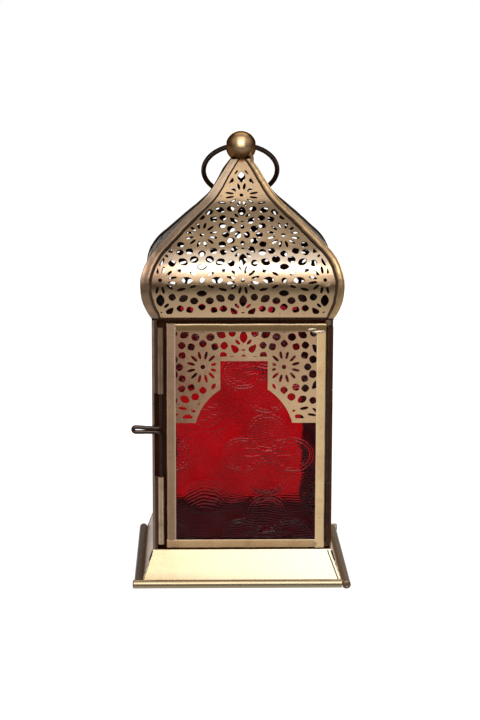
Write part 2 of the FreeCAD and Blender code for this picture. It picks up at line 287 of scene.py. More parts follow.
# the door's came strips are lit and shaded copies of one brass: the hinge stile and bottom rail painted lighter, the
# top rail painted darker, and the hinge stile's upper part painted shade
M_CAME_L = came("came_brass_latch_side", (0.62, 0.40, 0.25), (0.30, 0.175, 0.11), "Z", edge=(0.98, 0.74, 0.55), painted_edge_highlight_amt=0.75, rough=(0.44, 0.54))
M_CAME_R = came("came_brass_hinge_side_painted_light", (1.0, 0.78, 0.45), (0.76, 0.51, 0.26), "Z", edge=(1.0, 0.93, 0.74), rough=(0.64, 0.74),
                shade=along(2, 60, 128, 0.0, 0.15))
M_CAME_T = came("came_brass_top_painted_shade", (0.42, 0.26, 0.115), (0.20, 0.115, 0.05), "X", blotch=110, edge=(0.55, 0.44, 0.30), painted_edge_highlight_amt=0.6)
M_CAME_B = came("came_brass_bottom_painted_light", (0.82, 0.55, 0.29), (0.48, 0.29, 0.145), "X", rough=(0.56, 0.66))
M_CAME_Z = came("came_brass_upright", (0.58, 0.41, 0.22), (0.28, 0.18, 0.10), "Z")
M_CAME_X = came("came_brass_rail_x", (0.58, 0.41, 0.22), (0.28, 0.18, 0.10), "X")
M_CAME_Y = came("came_brass_rail_y", (0.58, 0.41, 0.22), (0.28, 0.18, 0.10), "Y")
# the posts' edges are rubbed bright: edge wear and a painted edge highlight
POST = dict(rough=(0.27, 0.42), blotch=90, blotch_amt=0.6, speck=800, speck_amt=0.3,
            streak=(900, 900, 40), streak_amt=0.25, edge_wear_and_sheen=((0.40, 0.28, 0.20), 0.4))
M_POST = brass("post_dark_brass", (0.15, 0.072, 0.044), (0.05, 0.024, 0.018), tint=(0.40, 0.24, 0.17), **POST)


# The latch tubes proud of the post: a paler brass tone, and on the lower tube a stronger painted highlight.
def tubes(m):
    front = m.math("LESS_THAN", m.axis(1), -0.0453)
    low = m.math("LESS_THAN", m.axis(2), 0.0570)
    part = m.math("MULTIPLY", front, m.math("ADD", m.math("MULTIPLY", low, 0.66), 0.28))
    return m.math("MULTIPLY", part, m.ramp(m.noise(120, 3.0), 0.3, 0.6, 0.6, 1.0), clamp=True)


# foot paints a thin lighter strip along the post's outer edge, a painted highlight
M_POST_L = brass("post_with_tubes", (0.24, 0.115, 0.077), (0.075, 0.034, 0.025), lite=((1.0, 0.76, 0.50), tubes), tint=(0.50, 0.34, 0.26),
                 foot=((0.62, 0.47, 0.34), lambda m: m.math("MULTIPLY", along(0, -43.5, -44.1, 0.0, 0.8)(m), along(1, -43.6, -44.2)(m))), **POST)
# the eave ring is near black: painted shade for the shaded gap under the roof
M_EAVE = brass("eave_painted_shade", (0.05, 0.03, 0.022), (0.02, 0.012, 0.01), (0.4, 0.5), 90, 0.6, 800, 0.3)


def base_shade(m):
    z = m.axis(2)
    # painted shade in the crease just above the hem
    crease = m.math("MULTIPLY", m.ramp(z, 0.0075, 0.0042), m.ramp(z, 0.0029, 0.0033))
    return m.math("MULTIPLY", crease, 0.55)


def hem(amount):
    """The rolled hem: all that lies further out than the slanted panels."""
    def mask(m):
        out = m.math("MAXIMUM", m.math("ABSOLUTE", m.axis(0)), m.math("ABSOLUTE", m.axis(1)))
        return m.math("MULTIPLY", m.math("GREATER_THAN", out, 50.25 * MM), amount)
    return mask


# front and back skirts: lite paints them paler towards +x, painted light, and foot darkens the hem, painted shade
M_BASE = brass("base_bright_brass", (0.62, 0.515, 0.30), (0.43, 0.30, 0.17), (0.22, 0.32), 40, 0.35, 700, 0.15,
               streak=(60, 900, 900), streak_amt=0.15, shade=base_shade,
               lite=((0.76, 0.69, 0.52), along(0, -50, 40, 0.0, 0.85)), foot=((0.36, 0.275, 0.165), hem(0.85)))
# side skirts, lit and shaded copies: the left one's hem painted dark, painted shade, the right one's hem kept paler,
# painted light
M_SIDE = brass("base_side_brass", (0.80, 0.59, 0.42), (0.42, 0.28, 0.18), (0.26, 0.38), 55, 0.4, 800, 0.2, foot=((0.36, 0.24, 0.17), hem(1.0)))
M_SIDE_R = brass("base_side_brass_lit_hem", (0.80, 0.59, 0.37), (0.40, 0.27, 0.16), (0.26, 0.38), 55, 0.4, 800, 0.2,
                 foot=((0.66, 0.49, 0.32), hem(1.0)))
M_SEAM_R = brass("seam_brass", (0.58, 0.385, 0.20), (0.25, 0.14, 0.07), (0.25, 0.38), 120, 0.4, 900, 0.25)
# a darker copy of the seam brass, painted shade, with its upper part painted paler, a painted highlight
M_SEAM_L = brass("seam_brass_painted_shade", (0.40, 0.26, 0.165), (0.16, 0.092, 0.064), (0.27, 0.40), 120, 0.6, 900, 0.3,
                 lite=((0.66, 0.49, 0.34), along(2, 166, 196, 0.0, 0.5)))
# painted shade for the seam strips' edge faces
M_CREASE = brass("seam_edge_painted_shade", (0.16, 0.095, 0.062), (0.05, 0.028, 0.02), (0.35, 0.5), 120, 0.6, 900, 0.3)
M_STOP = brass("stop_dark", (0.09, 0.028, 0.012), (0.03, 0.011, 0.006), (0.5, 0.62), 100, 0.6, 900, 0.3, tint=(0.30, 0.13, 0.07))
# near black, painted shade for crevices and open joints
M_LINE = brass("crevice_painted_shade", (0.085, 0.05, 0.036), (0.03, 0.018, 0.014), (0.4, 0.55), 120, 0.6, 900, 0.3)


def painted_ball_highlight(m):
    """Painted highlight on the ball: a paler patch high at the front."""
    dot = m.math("ADD", m.math("MULTIPLY", m.axis(0), 0.05 / 7.8 / MM), m.math("MULTIPLY", m.axis(1), -0.905 / 7.8 / MM))
    dot = m.math("ADD", dot, m.math("MULTIPLY", m.math("SUBTRACT", m.axis(2), 217.3 * MM), 0.42 / 7.8 / MM))
    return m.ramp(dot, 0.70, 1.0)


M_BALL = brass("ball_brass", (0.25, 0.13, 0.056), (0.09, 0.045, 0.02), (0.25, 0.33), 110, 0.4, 900, 0.3, lite=((0.90, 0.61, 0.33), painted_ball_highlight),
               tint=(0.50, 0.32, 0.18))
M_WIRE = brass("dark_bronzed_wire", (0.095, 0.065, 0.05), (0.03, 0.02, 0.016), (0.24, 0.36), 150, 0.6, 900, 0.3, tint=(0.40, 0.28, 0.21))
M_SOLDER = brass("solder", (0.60, 0.49, 0.36), (0.26, 0.18, 0.12), (0.28, 0.45), 260, 0.6, 1200, 0.35)
# inside faces, hole walls and the floor plate are near black: painted shade
M_BACK = brass("came_inside_painted_shade", (0.11, 0.07, 0.05), (0.04, 0.024, 0.018), (0.4, 0.5), 80, 0.6, 800, 0.3)
M_FLOOR = brass("floor_painted_shade", (0.025, 0.016, 0.013), (0.01, 0.007, 0.006), (0.5, 0.62), 80, 0.6, 800, 0.3)
M_INNER = brass("inner_brass_painted_shade", (0.055, 0.027, 0.016), (0.02, 0.011, 0.008), (0.6, 0.72), 80, 0.6, 800, 0.3, tint=(0.25, 0.14, 0.09))


def red_glass():
    m = Mat("red_pressed_glass")
    # the depth attribute carries painted shade; vein makes the red uneven
    vein = m.ramp(m.noise(38, 4.0, 0.55), 0.3, 0.75, 0.0, 0.22)
    glass_painted_shade = m.math("ADD", m.attr("depth"), vein, clamp=True)
    m.set(Transmission_Weight=1.0, IOR=1.42, Metallic=0.0,
          Base_Color=m.mix(glass_painted_shade, (0.78, 0.030, 0.062), (0.11, 0.002, 0.006)))
    m.put(m.b.inputs["Roughness"], m.ramp(m.noise(600, 3.0), 0.3, 0.7, 0.03, 0.09))
    m.bump(m.noise(1400, 3.0), 0.12, 0.05)
    return m.m


M_GLASS = red_glass()

# ------------------------------------------------------------------ pierced rosette pattern
# Two rosettes on a 40.3 x 51.2 mm net, the sheet mirrored about both axes.
PX, PV = 40.3, 51.2


def oval(w, h, n=2.0, k=20):
    t = np.linspace(0, 2 * np.pi, k, endpoint=False) + 0.5 * np.pi / k
    c, s = np.cos(t), np.sin(t)
    return np.stack([w / 2 * np.sign(c) * np.abs(c) ** (2 / n), h / 2 * np.sign(s) * np.abs(s) ** (2 / n)], 1)


def lens(l, w, p=0.8, k=10):
    u = np.linspace(-1, 1, k)
    y = w / 2 * (1 - u * u) ** p
    return np.vstack([np.stack([u * l / 2, -y], 1), np.stack([u[::-1] * l / 2, y[::-1]], 1)[1:-1]])


def drop(l, w, k=11):
    u = np.linspace(-1, 1, k)
    y = np.sqrt(np.maximum(1 - u * u, 0)) * (1 - 0.5 * u)
    y = y / y.max() * w / 2
    return np.vstack([np.stack([u * l / 2, -y], 1), np.stack([u[::-1] * l / 2, y[::-1]], 1)[1:-1]])


def spun(p, deg):
    c, s = math.cos(math.radians(deg)), math.sin(math.radians(deg))
    return p @ np.array([[c, s], [-s, c]])


QUARTER = [
    ((0, 0), oval(1.7, 1.7, k=14), 0),
    ((6.0, 1.25), oval(4.1, 1.2, 2.2, 14), 10),
    ((4.3, 3.5), oval(3.7, 1.3, 2.2, 14), 38),
    ((1.45, 5.0), oval(3.5, 1.3, 2.2, 14), 76),
    ((0, 10.5), lens(6.1, 3.75, 0.85), 90),
    ((2.85, 13.1), oval(2.9, 1.35, 2.2, 14), -46),
    ((0, 17.0), oval(1.7, 0.75, 2.4, 12), 0),
    ((0, 20.5), oval(2.0, 2.6, 2.0, 16), 0),
    ((4.55, 16.2), drop(4.6, 3.0), -52),
    ((5.65, 8.6), oval(3.5, 3.5, 1.7), 12),
    ((11.05, 9.25), oval(4.7, 3.5, 1.7), -33),
    ((16.35, 10.5), oval(3.9, 3.6, 1.9), 0),
    ((20.15, 6.6), lens(4.8, 2.9, 0.75), 0),
    ((9.95, 4.6), oval(4.0, 1.45, 2.0, 16), -12),
    ((15.85, 3.2), oval(3.2, 1.3, 2.0, 16), -24),
    ((12.75, 0), lens(5.4, 3.1, 0.75), 0),
    ((20.15, 0), oval(2.7, 2.7, 1.7, 16), 0),
    ((9.6, 14.7), oval(3.6, 3.6, 1.6), 0),
    ((5.8, 21.9), oval(3.5, 3.7, 2.3), 15),
    ((2.2, 25.6), oval(2.9, 4.2, 2.1), 0),
]


def pattern(x0, x1, v0, v1, grow=1.07, seed=5):
    """Hole outlines whose centres lie in the window, as (n, 2) arrays, each a little off true."""
    found = {}
    r = np.random.default_rng(seed)

    def add(p):
        c = p.mean(0)
        key = (round(c[0], 1), round(c[1], 1))
        if x0 <= c[0] <= x1 and v0 <= c[1] <= v1 and key not in found:
            size = np.ptp(p, axis=0).max()
            g = grow + (0.05 if size < 2.2 else 0.0) + r.uniform(-0.035, 0.035)
            found[key] = spun((p - c) * g, r.uniform(-3, 3)) + c + r.uniform(-0.1, 0.1, 2)

    for i in range(-3, 4):
        for j in range(-3, 4):
            o = np.array([i * PX, j * PV])
            for (cx, cv), p, deg in QUARTER:
                q = spun(p, deg) + (cx, cv)
                for sx in (1, -1):
                    for sv in (1, -1):
                        add(q * (sx, sv) + o)
            b = o + (PX / 2, PV / 2)
            add(oval(2.0, 2.0, k=14) + b)
            for k in range(12):
                add(spun(oval(3.85, 1.35, 2.1, 14) + (6.07, 0), 15 + 30 * k) + b)
                add(spun(oval(3.6, 3.6, 1.55, 20) + (11.8, 0), 30 * k) + b)
    return list(found.values())


def inside(points, poly):
    x, y = points[:, 0], points[:, 1]
    ok = np.zeros(len(points), bool)
    a, b = poly, np.roll(poly, -1, 0)
    for (xa, ya), (xb, yb) in zip(a, b):
        if ya == yb:
            continue
        hit = (ya > y) != (yb > y)
        ok ^= hit & (x < (xb - xa) * (y - ya) / (yb - ya) + xa)
    return ok


def pierce(boundary, region, holes, lines):
    """Triangulates the sheet inside boundary, with every hole taken out where it lies in region."""
    pts, edges = [], []

    def run(poly, closed=True):
        n = len(pts)
        pts.extend(Vector((float(x), float(y))) for x, y in poly)
        edges.extend((n + i, n + i + 1) for i in range(len(poly) - 1))
        if closed:
            edges.append((n + len(poly) - 1, n))

    run(boundary)
    run(region)
    used = [h for h in holes if inside(h, region).any()]
    for h in used:
        run(h)
    for a in lines:
        run(a, False)
    res = geometry.delaunay_2d_cdt(pts, edges, [], 0, 1e-4)
    v = np.array([p[:] for p in res[0]])
    t = np.array([f for f in res[2] if len(f) == 3])
    area = np.cross(v[t[:, 1]] - v[t[:, 0]], v[t[:, 2]] - v[t[:, 0]])
    t[area < 0] = t[area < 0][:, ::-1]
    c = v[t].mean(1)
    keep = inside(c, boundary)
    in_region = inside(c, region)
    gone = np.zeros(len(t), bool)
    for h in used:
        l, u = h.min(0), h.max(0)
        near = np.where(in_region & (c >= l).all(1) & (c <= u).all(1))[0]
        if len(near):
            gone[near] |= inside(c[near], h)
    t = t[keep & ~gone]
    ids, inv = np.unique(t.ravel(), return_inverse=True)
    return v[ids], inv.reshape(-1, 3)


def thick(front, back, tris):
    """Closed sheet from two layers of the same triangulation; front faces the viewer."""
    n = len(front)
    e = {}
    for a, b, c in tris:
        for p, q in ((a, b), (b, c), (c, a)):
            e[(p, q)] = True
    walls = [(q, p, p + n, q + n) for p, q in e if (q, p) not in e]
    faces = [tuple(f) for f in tris] + [(c + n, b + n, a + n) for a, b, c in tris] + walls
    return np.vstack([front, back]), faces


# ------------------------------------------------------------------ roof
Z_EAVE, Z_APEX, ROOF_T = 135.7, 211.0, 0.5
C1, R1 = (19.1, 152.0), 30.6
C2, R2 = (24.3, 152.0), 25.4
TURN, R3 = math.radians(47.0), 300.0
C3 = (C2[0] + (R2 + R3) * math.cos(TURN), C2[1] + (R2 + R3) * math.sin(TURN))
SKIN = -0.62


def section_table(off):
    ra, rb, rc = R1 + off, R2 + off, R3 - off
    t1 = np.linspace(math.asin((Z_EAVE - C1[1]) / ra), 0, 60)
    t2 = np.linspace(0, TURN, 60)[1:]
    t3 = np.linspace(TURN, math.asin((C3[1] - Z_APEX) / rc), 80)[1:]
    d = np.concatenate([C1[0] + ra * np.cos(t1), C2[0] + rb * np.cos(t2), C3[0] - rc * np.cos(t3)])
    z = np.concatenate([C1[1] + ra * np.sin(t1), C2[1] + rb * np.sin(t2), C3[1] - rc * np.sin(t3)])
    t = np.concatenate([t1, t2, t3])
    s = np.concatenate([[0], np.cumsum(np.hypot(np.diff(d), np.diff(z)))])
    # by hand the slope came out a little flatter below the top rosette and steeper above it
    q = np.arange(0, s[-1] + 0.5, 0.25)
    bent = np.interp(q, [46, 51, 55, 60, 65, 68, 70.5, 73, 77, 82, 86.5, 90, 93], [0, 2.0, 3.6, 5.6, 7.2, 5.5, 0.5, -3.6, -7.0, -6.8, -3.2, -1.0, 0])
    bent = np.convolve(np.pad(bent, 14, mode="edge"), np.hanning(29) / np.hanning(29).sum(), mode="valid")
    off = -np.cumsum(np.tan(np.radians(bent))) * 0.25
    o = np.interp(s, q, off)
    return s, d + o * np.cos(t), z + o * np.sin(t), t + np.radians(np.interp(s, q, bent))


SEC = section_table(SKIN)
S_TOP = SEC[0][-1]


def section(s):
    return tuple(np.interp(s, SEC[0], SEC[k]) for k in (1, 2, 3))


def roof_point(x, s, off):
    """Front panel: x across, s up the curve, off outward from the sheet's outer face."""
    d, z, t = section(s)
    return np.stack([x, -(d + off * np.cos(t)), z + off * np.sin(t)], -1)


def roof_sheet():
    ss = np.linspace(0, S_TOP, 90)
    w = section(ss)[0]
    boundary = np.vstack([np.stack([w, ss], 1), np.stack([-w[::-1], ss[::-1]], 1)])
    sr = np.linspace(2.9, 86.2, 80)
    d, z, t = section(sr)
    wr = d + 0.62 * np.cos(t) - 6.3
    region = np.vstack([np.stack([wr, sr], 1), np.stack([-wr[::-1], sr[::-1]], 1)])
    holes = [h + (0, 20.9) for h in pattern(-62, 62, -30, 75)]
    lines = []
    for s in np.arange(1.2, S_TOP - 0.4, 1.25):
        q = float(section(s)[0]) - 0.05
        lines.append([(-q, s), (q, s)])
    for x in np.arange(-44, 45, 5.5):
        top = float(np.interp(-abs(x), -SEC[1][60:], SEC[0][60:])) if abs(x) < 49 else 1
        lines.append([(x, 0.3), (x, min(top, S_TOP) - 0.6)])
    v, tris = pierce(boundary, region, holes, lines)
    d, z, t = section(v[:, 1])
    inner = (d - ROOF_T * np.cos(t)) / d
    wob = 0.05 * np.sin(v[:, 0] * 0.16 + 1.0) * np.sin(v[:, 1] * 0.11 + 0.5) + 0.03 * np.sin(v[:, 0] * 0.41 + v[:, 1] * 0.23)
    fade = np.clip((d - np.abs(v[:, 0])) / 6.0, 0, 1) * np.clip(v[:, 1] / 6.0, 0, 1) * np.clip((S_TOP - v[:, 1]) / 6.0, 0, 1)
    # and the sheet is pulled down towards its seams
    wob = wob * fade - 0.75 * (np.abs(v[:, 0]) / d) ** 3 * np.clip(v[:, 1] / 8.0, 0, 1) * np.clip((80 - v[:, 1]) / 20.0, 0, 1)
    front = roof_point(v[:, 0], v[:, 1], wob)
    back = roof_point(v[:, 0] * inner, v[:, 1], wob - ROOF_T)
    return thick(front, back, tris)


def bend(p):
    """Hand-bent corners: the front ones stand out a little half way up, the left back one is drawn in."""
    p = np.array(p, float)
    d = np.interp(p[:, 2], SEC[2], SEC[1])
    u, w = np.clip(p[:, 0] / d, -1, 1), np.clip(p[:, 1] / d, -1, 1)
    m = np.interp(p[:, 2], [150, 160, 170, 186, 198, 206], [0, 0.35, 1, 1, 0.4, 0])
    lo = np.interp(p[:, 2], [136, 146, 156, 166], [0, 1, 1, 0])
    f, b = (1 - w) / 2, (1 + w) / 2
    edge = np.abs(u) ** 5
    left, right = (1 - u) / 2, (1 + u) / 2
    p[:, 0] += m * (edge * f * np.where(u < 0, -1.0, 0.7) + b * (2.7 * left - 0.5 * right)) - 0.7 * lo * f * left * edge
    p[:, 1] -= m * b * left * 1.4
    return p


rv, rf = roof_sheet()
rn = sum(len(q) == 3 for q in rf) // 2
for name, deg in (("front", 0), ("right", 90), ("back", 180), ("left", 270)):
    place(mesh_object("roof_pierced_" + name, bend(turn(rv, deg)), rf, sharp=40), "lantern", M_ROOF_F if name == "front" else M_ROOF, ["roof_panel_" + name],
          inner=(M_INNER, rn))


FLAT = [(1.0, 0.02), (0.985, 0.45), (0.94, 0.86), (0.88, 0.98), (0.7, 0.86), (0.5, 0.66), (0.3, 0.50)]
BEAD = [(1.0, 0.02), (0.95, 0.30), (0.86, 0.62), (0.73, 0.90), (0.57, 1.04), (0.41, 1.04), (0.25, 0.90)]
LOW = [(1.0, 0.02), (0.985, 0.24), (0.93, 0.44), (0.86, 0.53), (0.7, 0.58), (0.5, 0.60), (0.3, 0.61)]


def seam_strip(deg, seed, flaps, widths, ridge, full):
    """Folded corner strip: two flaps over the panels' edges, a soft ridge between."""
    ns = 150
    s = np.linspace(0, S_TOP, ns)
    d, z, t = section(s)
    wide, wide2 = (w + 0.26 * smooth_noise(s / 23.0, seed + 2 * k) + 0.11 * smooth_noise(s / 5.0, seed + 1 + 2 * k) for k, w in enumerate(widths))
    taper = np.interp(s, [0, 3.0, 70, S_TOP], [0.8, 1.0, 1.0, 0.8])
    wide, wide2 = wide * taper, wide2 * taper
    lift = 0.06 * smooth_noise(s / 9.0, seed + 4)
    # the proud part of the fold sinks to a plain strip towards the top and the foot
    proud = np.interp(s, [0, 2, 6, 54, 62, S_TOP], [0.3, 0.6, 1, 1, full, full]) * (1 + 0.25 * smooth_noise(s / 17.0, seed + 5))
    rows = []
    for k in range(ns):
        row = []
        c, sn = math.cos(t[k]), math.sin(t[k])

        def off_at(off):
            o = min(off, 0.60) + max(off - 0.60, 0.0) * proud[k]
            return o + (lift[k] if off > 0.4 else 0)

        def at(q, off, side):
            o = off_at(off)
            dd, zz = d[k] + o * c, max(z[k] + o * sn, Z_EAVE)
            x, y = dd - q, -dd
            return (x, y, zz) if side == 0 else (-y, -x, zz)

        for q, off in flaps[0]:
            row.append(at(q * wide[k], off, 0))
        for q in (0.42, 0.16):
            row.append(at(q, ridge - 0.04, 0))
        dd = d[k] + off_at(ridge - 0.08) * c
        row.append((dd - 0.13, -(dd - 0.13), max(z[k] + off_at(ridge - 0.08) * sn, Z_EAVE)))
        for q in (0.16, 0.42):
            row.append(at(q, ridge - 0.04, 1))
        for q, off in flaps[1][::-1]:
            row.append(at(q * wide2[k], off, 1))
        # underside, just clear of the sheet
        row.append(at(0.6 * wide2[k], 0.02, 1))
        row.append((d[k] + 0.02, -(d[k] + 0.02), max(z[k], Z_EAVE)))
        row.append(at(0.6 * wide[k], 0.02, 0))
        rows.append(row)
    nv = len(rows[0])
    v = np.array(rows).reshape(-1, 3)
    f = grid_faces(ns, nv, close_v=True, flip=True)
    f.append(tuple(range(nv)))
    f.append(tuple((ns - 1) * nv + j for j in range(nv))[::-1])
    # the strip's edge faces take painted shade
    dark = {i * nv + j for i in range(ns - 1) for j in (0, 1, nv - 6, nv - 5)}
    return turn(v, deg), f, dark


SEAMS = (("front_right", 0, (BEAD, LOW), (3.7, 3.3), 0.80, 0.85, M_SEAM_R), ("back_right", 90, (LOW, LOW), (3.3, 3.3), 0.62, 0.0, M_SEAM_L),
         ("back_left", 180, (LOW, LOW), (3.3, 3.3), 0.62, 0.0, M_SEAM_R), ("front_left", 270, (LOW, FLAT), (3.3, 4.7), 0.42, 0.2, M_SEAM_L))
for k, (name, deg, flaps, widths, ridge, full, mat) in enumerate(SEAMS):
    v, f, dark = seam_strip(deg, 11 + 7 * k, flaps, widths, ridge, full)
    place(mesh_object("seam_strip_" + name, bend(v), f, sharp=50), "lantern", mat, ["roof_seam_" + name], inner=(M_CREASE, dark))

# ------------------------------------------------------------------ frets
FRET_TOP, FRET_NECK, FRET_SHOULDER, FRET_FOOT, FRET_FOOT_X, FRET_BULGE = 114.4, 11.8, 100.0, 83.0, 24.1, 1.95


def arc_pts(p0, p1, bulge, n=14):
    p0, p1 = np.array(p0, float), np.array(p1, float)
    e = p1 - p0
    L = np.hypot(*e)
    nrm = np.array([-e[1], e[0]]) / L
    R = (L * L / 4 + bulge * bulge) / (2 * bulge)
    half = math.asin(L / 2 / R)
    c = (p0 + p1) / 2 + nrm * (bulge - R)
    u, w = e / L, nrm
    t = np.linspace(-half, half, n)
    return c + R * np.outer(np.sin(t), u) + R * np.outer(np.cos(t), w)


def cutout(xc, grow):
    """Right half then left half of the cut-out's outline, moved out by grow."""
    r = arc_pts((FRET_NECK, FRET_SHOULDER), (FRET_FOOT_X, FRET_FOOT), FRET_BULGE)
    if grow:
        e = np.gradient(r, axis=0)
        n = np.stack([-e[:, 1], e[:, 0]], 1) / np.hypot(e[:, 0], e[:, 1])[:, None]
        r = r + grow * n
        r = r[r[:, 0] > FRET_NECK + grow]
        top = np.array([[FRET_NECK + grow, np.interp(FRET_NECK + grow, r[:, 0], r[:, 1]) + 0.9]])
        r = np.vstack([top, r])
    right = np.vstack([[(FRET_NECK + grow, FRET_TOP + grow)], r])
    left = right * (-1, 1)
    return right + (xc, 0), left[::-1] + (xc, 0)


def fret_mesh(xa, xb, zt, xc, px):
    right, left = cutout(xc, 0.0)
    boundary = np.vstack([[(xb, FRET_FOOT)], [(xb, zt)], [(xa, zt)], [(xa, FRET_FOOT)], left, right])
    g = 2.25
    right, left = cutout(xc, g)
    zl = FRET_FOOT + g
    cut = lambda p: p[p[:, 1] > zl + 0.05]
    rr, ll = cut(right), cut(left)
    xr = float(np.interp(zl, right[::-1, 1], right[::-1, 0]))
    xl = float(np.interp(zl, left[:, 1], left[:, 0]))
    region = np.vstack([[(xb - 0.5, zl)], [(xb - 0.5, zt - 0.5)], [(xa + 0.5, zt - 0.5)], [(xa + 0.5, zl)], [(xl, zl)], ll, rr, [(xr, zl)]])
    holes = [h + (px, 85.8) for h in pattern(-60, 60, -10, 60)]
    v, tris = pierce(boundary, region, holes, [])
    y0 = np.full(len(v), -44.10)
    front = np.stack([v[:, 0], y0, v[:, 1]], 1)
    back = np.stack([v[:, 0], y0 + 0.5, v[:, 1]], 1)
    return thick(front, back, tris)


dv, df = fret_mesh(-35.7, 39.2, 131.65, 0.75, 0.45)
dn = sum(len(q) == 3 for q in df) // 2
place(mesh_object("door_fret_pierced", dv, df, sharp=30), "door", M_FRET, ["door_fret"], inner=(M_INNER, dn))
wv, wf = fret_mesh(-37.1, 37.1, 132.6, 0.0, 0.0)
wn = sum(len(q) == 3 for q in wf) // 2
for side, deg in (("right", 90), ("back", 180), ("left", 270)):
    place(mesh_object(side + "_fret_pierced", turn(wv, deg), wf, sharp=30), "lantern", M_FRET, [side + "_fret"],
          inner=(M_INNER, wn))

# ------------------------------------------------------------------ pressed glass
GPX, GPZ = 61.0, 42.0


def relief(x, z):
    """Height of the pressed pattern, mm: four-lobed flowers on a net, with ribbed lobes and ribbed leaves between them."""
    u = (x + GPX / 2) % GPX - GPX / 2
    w = (z + GPZ / 2) % GPZ - GPZ / 2
    r0 = np.hypot(u, w)
    lobes = ((12.3, 0, 10.6, 8.4), (-12.3, 0, 10.6, 8.4), (0, 11.2, 10.2, 9.4), (0, -11.2, 10.2, 9.4))
    q = [np.hypot((u - cx) / rx, (w - cz) / rz) for cx, cz, rx, rz in lobes]
    # fine ripples that run across the sheet, stronger in the lobes
    inside = np.clip((1.0 - np.minimum.reduce(q)) / 0.15, 0, 1)
    swell = 0.55 + 0.45 * np.sin(x * 0.17 + 1.9) * np.sin(z * 0.12 + 0.4)
    phase = z / 1.3 + 0.50 * np.sin(x * 0.21 + 0.9 * np.sin(z * 0.09)) + 0.20 * np.sin(x * 0.57 + z * 0.06) + 0.07 * np.sin(x * 1.45 - z * 0.1)
    h = (0.023 * swell + 0.016 * inside) * np.cos(2 * np.pi * phase)
    # each lobe is edged by a few soft rings, hidden where another lobe lies over them
    for i, qi in enumerate(q):
        e = (qi - 1) * 9.5
        over = np.ones_like(x)
        for j, qj in enumerate(q):
            if j != i:
                over = over * np.clip((qj - 0.72) / 0.25, 0, 1)
        h += over * np.exp(-((e + 0.6) / 2.0) ** 2) * (0.058 * np.cos(2 * np.pi * e / 1.7) + 0.045)
    # eye-shaped petals and a small boss at the centre
    for sx in (1, -1):
        e = np.hypot((u - sx * 7.6) / 6.0, (w - 0.8) / 2.0)
        h += 0.07 * np.exp(-((e - 1) * 2.2) ** 2) - 0.04 * np.exp(-(e * 1.6) ** 2)
    for sz in (1, -1):
        e = np.hypot(u / 2.2, (w - sz * 6.0) / 4.4)
        h += 0.045 * np.exp(-((e - 1) * 2.2) ** 2)
    h += 0.08 * np.exp(-(r0 / 1.3) ** 2)
    # fans of ribs between the flowers
    u2 = x % GPX - GPX / 2
    w2 = z % GPZ - GPZ / 2
    l = np.hypot(u2 / 12.5, w2 / 8.5)
    h += 0.035 * np.clip((1 - l) / 0.3, 0, 1) * np.cos(2 * np.pi * (w2 / 1.8 + 0.024 * u2 * u2 + 0.12 * np.sin(u2 * 0.8)))
    h += 0.03 * np.exp(-((l - 1) * 9 / 1.0) ** 2)
    # a few pinched spots, where the glass glints
    for cx, cz, k in ((-14.6, 37.5, 0.03), (4.3, 0.6, 0.045), (-6.9, -2.6, 0.04), (-3.2, -6.4, 0.03), (5.6, 7.1, 0.03), (-17.5, -23.2, 0.03), (16.0, 2.6, 0.03)):
        h += 2.2 * k * np.exp(-((x - cx) / 1.25) ** 2 - ((z - cz) / 0.5) ** 2)
    # slow waviness of the sheet
    h += 0.04 * np.sin(x * 0.35 + 0.8) * np.sin(z * 0.29 + 0.3)
    return h


def pane(xa, xb, za, zb, ox, oz, top):
    step = 0.32
    nx, nz = int(round((xb - xa) / step)) + 1, int(round((zb - za) / step)) + 1
    X, Zg = np.meshgrid(np.linspace(xa, xb, nx), np.linspace(za, zb, nz), indexing="ij")
    h = relief(X - ox, Zg - oz)
    slope = np.gradient(h, step, axis=1)
    edge = np.minimum(np.minimum(X - xa, xb - X), np.minimum(Zg - za, zb - Zg))
    h = 1.6 * (h - 0.30) * np.clip((edge - 0.6) / 2.0, 0, 1)
    Y = -43.55 - np.minimum(h, 0.0)
    v = np.stack([X, Y, Zg], -1).reshape(-1, 3)
    f = grid_faces(nx, nz)
    ring = ([i * nz for i in range(nx)] + [(nx - 1) * nz + j for j in range(1, nz)]
            + [i * nz + nz - 1 for i in range(nx - 2, -1, -1)] + [j for j in range(nz - 2, 0, -1)])
    n = len(v)
    b = v[ring].copy()
    b[:, 1] = -41.70
    m = len(ring)
    f += [(ring[(k + 1) % m], ring[k], n + k, n + (k + 1) % m) for k in range(m)]
    f.append(tuple(n + k for k in range(m))[::-1])
    # painted shade in the red: deeper where the pressed lines slope, behind the fret's upper corners and along the top
    # of the side panes; cloud makes it uneven in broad patches
    cloud = 0.5 + 0.25 * np.sin(X * 0.21 + 0.6) * np.sin(Zg * 0.17 + 1.1) + 0.25 * np.sin(X * 0.13 + 1.0) * np.sin(Zg * 0.11)
    behind_fret = np.clip((np.abs(X) - 13) / 10, 0, 1) * np.clip((Zg - 90) / 14, 0, 1) + np.clip((Zg - 114) / 3, 0, 1) * 0.4
    glass_painted_shade = np.clip(0.15 + 0.34 * cloud + 5.6 * slope + 0.5 * np.clip(behind_fret, 0, 1) + top * np.clip((Zg - 115) / 4, 0, 1), 0, 1)
    return np.vstack([v, b]), f, np.concatenate([glass_painted_shade.ravel(), np.full(m, 0.3)])


def glaze(name, body, node, deg, *size):
    gv, gf, glass_painted_shade = pane(*size)
    ob = mesh_object(name, turn(gv, deg), gf, sharp=50)
    attribute(ob, "depth", glass_painted_shade)
    place(ob, body, M_GLASS, [node])


